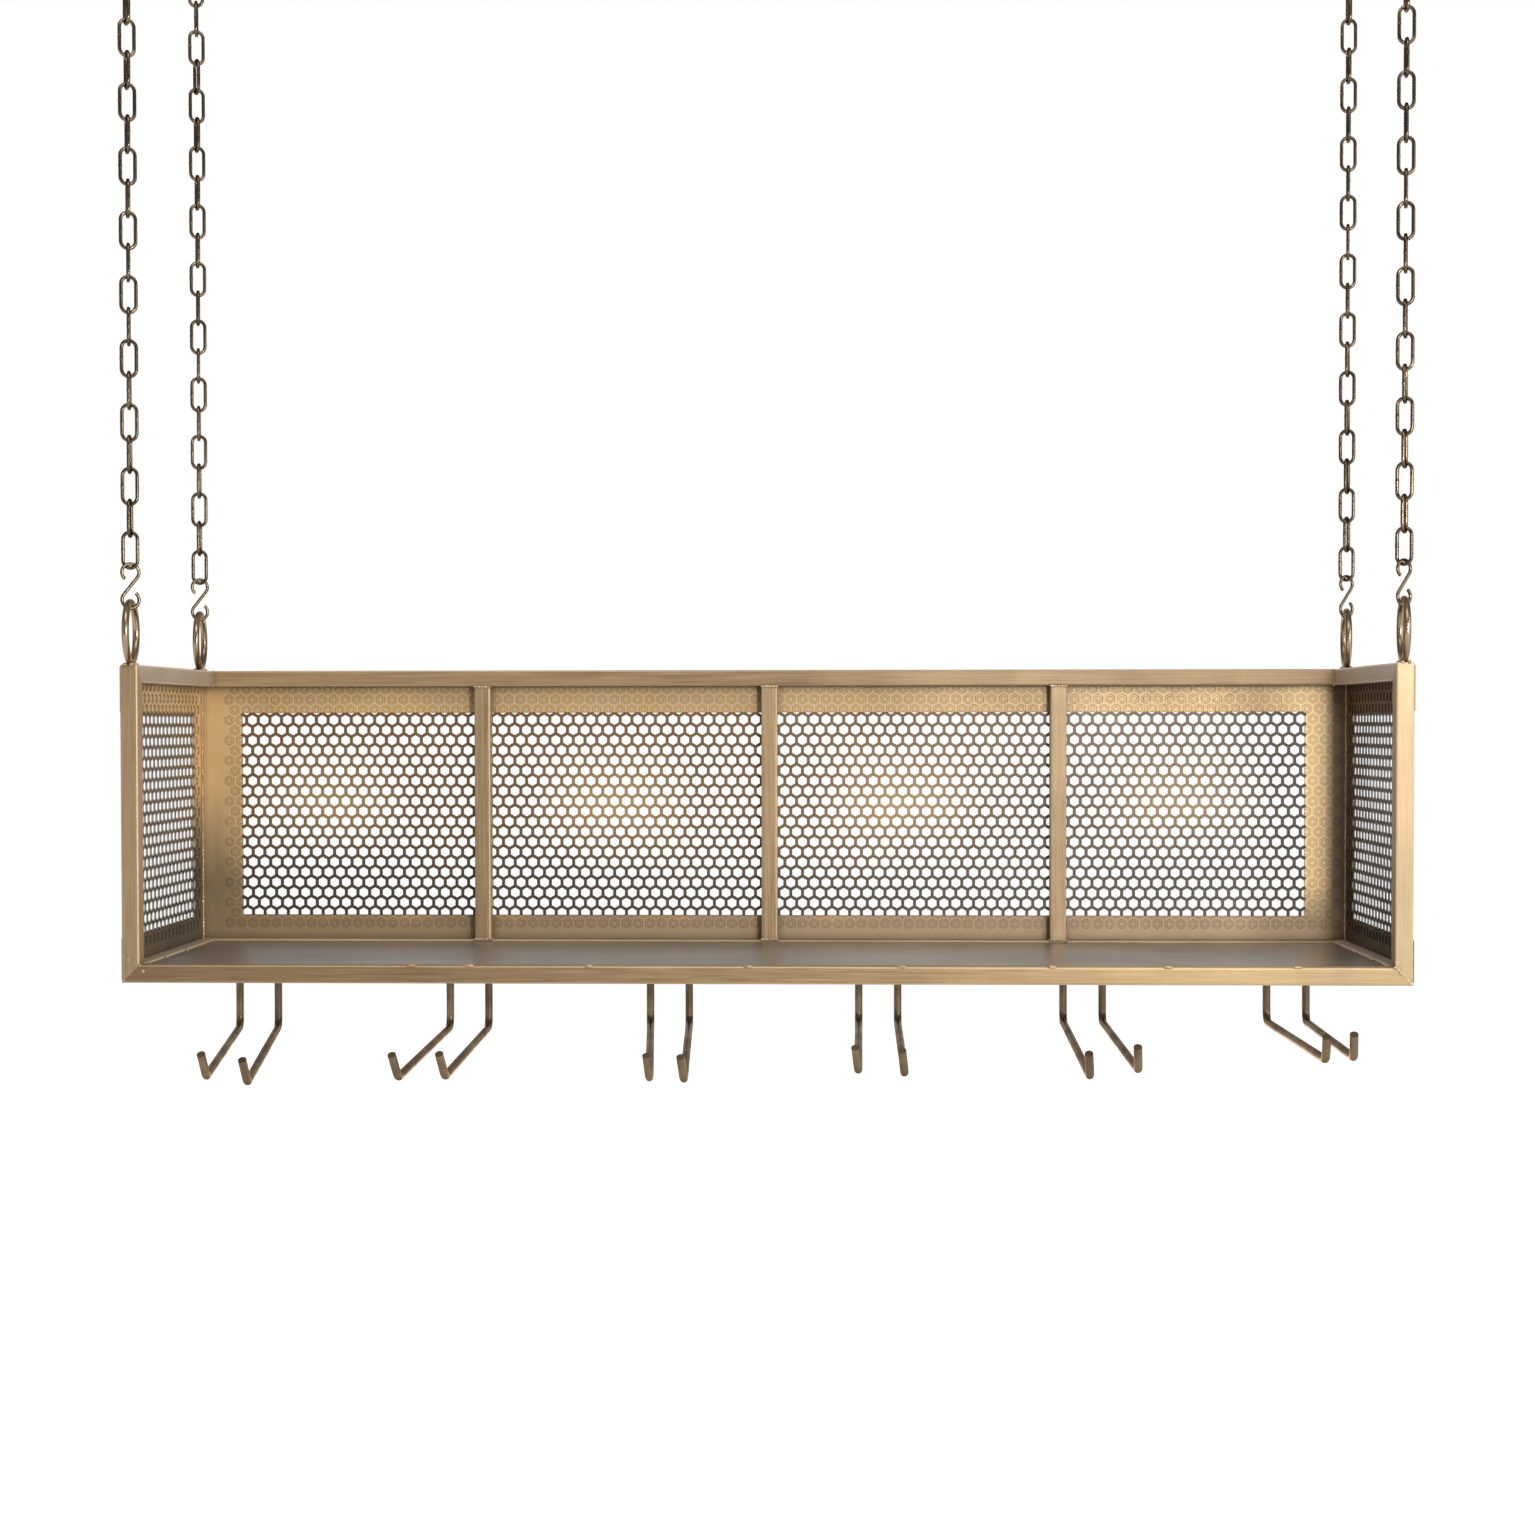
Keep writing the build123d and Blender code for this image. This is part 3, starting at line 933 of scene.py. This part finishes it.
def weld_sides(bm):
    """Seams at the back corners, and tacks that hold the floor sheet on the side rails."""
    outer_inset = 0.4 * MM
    outer_size = (0.8, 0.8, 2.2)
    inner_size = (0.5, 0.5, 1.4)
    tack_inset = 1.0 * MM
    tack_z = rail_high.z - 0.9 * MM
    # Distance behind the front in tube widths, size and seed
    tacks = (
        (1.6, (1.2, 3.0, 1.0), 660),
        (5.0, (1.1, 3.5, 0.9), 670),
        (9.0, (1.2, 3.2, 1.0), 680),
    )
    foot_z = shelf_bottom + tube
    head_z = shelf_top - tube
    crown_z = shelf_top - 1.0 * MM
    for index, side in enumerate((-1, 1)):
        x = side * (half_width - outer_inset)
        y = back_y - outer_inset
        bead_row(bm, (x, y, foot_z), (x, y, head_z), 70, outer_size, seed=430 + 100 * index)
        x = side * (half_width - tube)
        y = back_y - tube
        bead_row(bm, (x, y, head_z), (x, y, crown_z), 6, inner_size, seed=640 + 10 * index)
        for widths, size, seed in tacks:
            place = (x - side * tack_inset, front_y + tube * widths, tack_z)
            bead(bm, place, size, seed + index)


def build_welds():
    bm = bmesh.new()
    for weld in (weld_floor, weld_dividers, weld_rings, weld_front_corners, weld_sides):
        weld(bm)
    add_piece("weld_beads", bm, (weld_metal,), "shelf")


def build_camera():
    forward = Vector((
        math.sin(camera_yaw) * math.cos(camera_pitch),
        math.cos(camera_yaw) * math.cos(camera_pitch),
        -math.sin(camera_pitch),
    ))
    right = Vector((math.cos(camera_yaw), -math.sin(camera_yaw), 0))
    up = right.cross(forward)
    turned_right = right * math.cos(camera_roll) + up * math.sin(camera_roll)
    turned_up = up * math.cos(camera_roll) - right * math.sin(camera_roll)
    data = bpy.data.cameras.new("camera")
    data.sensor_width = sensor_mm
    data.sensor_fit = "HORIZONTAL"
    data.lens = focal_px / image_px * sensor_mm
    data.clip_end = camera_reach
    camera = add_object("camera", data)
    axes = Matrix((turned_right, turned_up, -forward)).transposed().to_4x4()
    place = Vector((0, front_y, shelf_top)) + camera_from_post
    camera.matrix_world = Matrix.Translation(place) @ axes
    bpy.context.scene.camera = camera


# Strength of the room's light from below and above, and the part of the room that mirrors as white
room_strength = (0.12, 0.37)
backdrop_range = (0.55, 0.95)

# Stage floor: its place under the shelf, and its glow from near the part to where it is white
floor_drop = 1.3
floor_half_size = 9.0
floor_grey = colour(0.75, 0.75, 0.75)
floor_glow = (0.9, 2.4, 0.45, 1.0)

# Tints of the lamps
warm = (1.0, 0.97, 0.93)
cool = (0.98, 1.0, 0.96)
amber = (1.0, 0.9, 0.79)


def ray_kinds(tree):
    """Factors that are one for what the camera sees, and for what gloss or glass shows."""
    rays = tree.add("ShaderNodeLightPath")
    mirrored = tree.maths("MAXIMUM", rays.outputs["Is Glossy Ray"], rays.outputs["Is Transmission Ray"])
    return rays.outputs["Is Camera Ray"], mirrored


def build_world():
    """A soft room, with white behind the part for the camera and for reflections."""
    world = bpy.data.worlds.new("studio")
    bpy.context.scene.world = world
    world.use_nodes = True
    tree = NodeTree(world.node_tree)
    direction = tree.axes("Generated")
    height = tree.span(direction["Z"], 0.0, 1.0, *room_strength)
    behind = tree.span(direction["Y"], *backdrop_range, 0.0, 1.0)
    seen, mirrored = ray_kinds(tree)
    shown = tree.maths("MAXIMUM", seen, tree.maths("MULTIPLY", mirrored, behind))
    room = tree.add("ShaderNodeBackground", Color=white)
    backdrop = tree.add("ShaderNodeBackground", Color=white, Strength=1.0)
    choice = tree.add("ShaderNodeMixShader")
    output = tree.add("ShaderNodeOutputWorld")
    tree.join(height, room.inputs["Strength"])
    tree.join(shown, choice.inputs[0])
    tree.join(room.outputs[0], choice.inputs[1])
    tree.join(backdrop.outputs[0], choice.inputs[2])
    tree.join(choice.outputs[0], output.inputs["Surface"])


def build_floor():
    """A pale floor, white further out, that keeps the part's shadow near the part."""
    material, tree = new_material("pale_floor")
    seen, mirrored = ray_kinds(tree)
    shown = tree.maths("MAXIMUM", seen, mirrored)
    spot = tree.add("ShaderNodeTexCoord")
    away = tree.add("ShaderNodeVectorMath", operation="LENGTH")
    tree.join(spot.outputs["Object"], away.inputs[0])
    level = tree.span(away.outputs["Value"], *floor_glow)
    glow = tree.add("ShaderNodeEmission", Color=white)
    matt = tree.add("ShaderNodeBsdfDiffuse", Color=floor_grey)
    both = tree.add("ShaderNodeAddShader")
    output = tree.add("ShaderNodeOutputMaterial")
    tree.join(tree.maths("MULTIPLY", level, shown), glow.inputs["Strength"])
    tree.join(matt.outputs[0], both.inputs[0])
    tree.join(glow.outputs[0], both.inputs[1])
    tree.join(both.outputs[0], output.inputs["Surface"])
    bm = bmesh.new()
    bmesh.ops.create_grid(bm, x_segments=2, y_segments=2, size=floor_half_size)
    mesh = mesh_from("floor", bm)
    mesh.materials.append(material)
    floor = add_object("floor", mesh)
    floor.location = (0, 0, shelf_bottom - floor_drop)


def area_light(name, place, target, size, watts, tint):
    data = bpy.data.lights.new(name, "AREA")
    data.shape = "RECTANGLE"
    data.size, data.size_y = size
    data.energy = watts
    data.color = tint
    light = add_object(name, data)
    light.location = place
    light.rotation_euler = (Vector(target) - Vector(place)).to_track_quat("-Z", "Y").to_euler()
    light.visible_camera = False


def build_lamps():
    middle_z = (shelf_top + shelf_bottom) / 2
    middle = (0.0, 0.0, middle_z)
    # Name, place, target, size, watts and tint
    lamps = (
        ("key_near", (0.46, -1.3, shelf_top + 0.1), (0.2, 0.1, middle_z), (0.12, 0.4), 8, cool),
        ("key_right", (0.75, -1.2, shelf_top + 0.1), (0.3, 0.0, middle_z), (0.2, 0.5), 4, cool),
        ("side_right", (1.9, -0.9, shelf_top + 0.3), middle, (0.8, 1.2), 14, warm),
        ("side_left", (-1.9, -1.1, shelf_top + 0.2), middle, (0.9, 1.2), 4, amber),
        ("front_top", (0.0, -1.0, shelf_top + 1.3), middle, (1.6, 0.8), 10, warm),
        ("back_low", (0.0, 1.8, shelf_bottom - 0.6), middle, (1.8, 0.6), 8, warm),
    )
    for lamp in lamps:
        area_light(*lamp)


dress_nodes()
build_walls()
for corner in corners:
    build_chain(corner)
build_welds()
build_camera()
build_world()
build_floor()
build_lamps()
bpy.context.scene.view_settings.view_transform = "Standard"
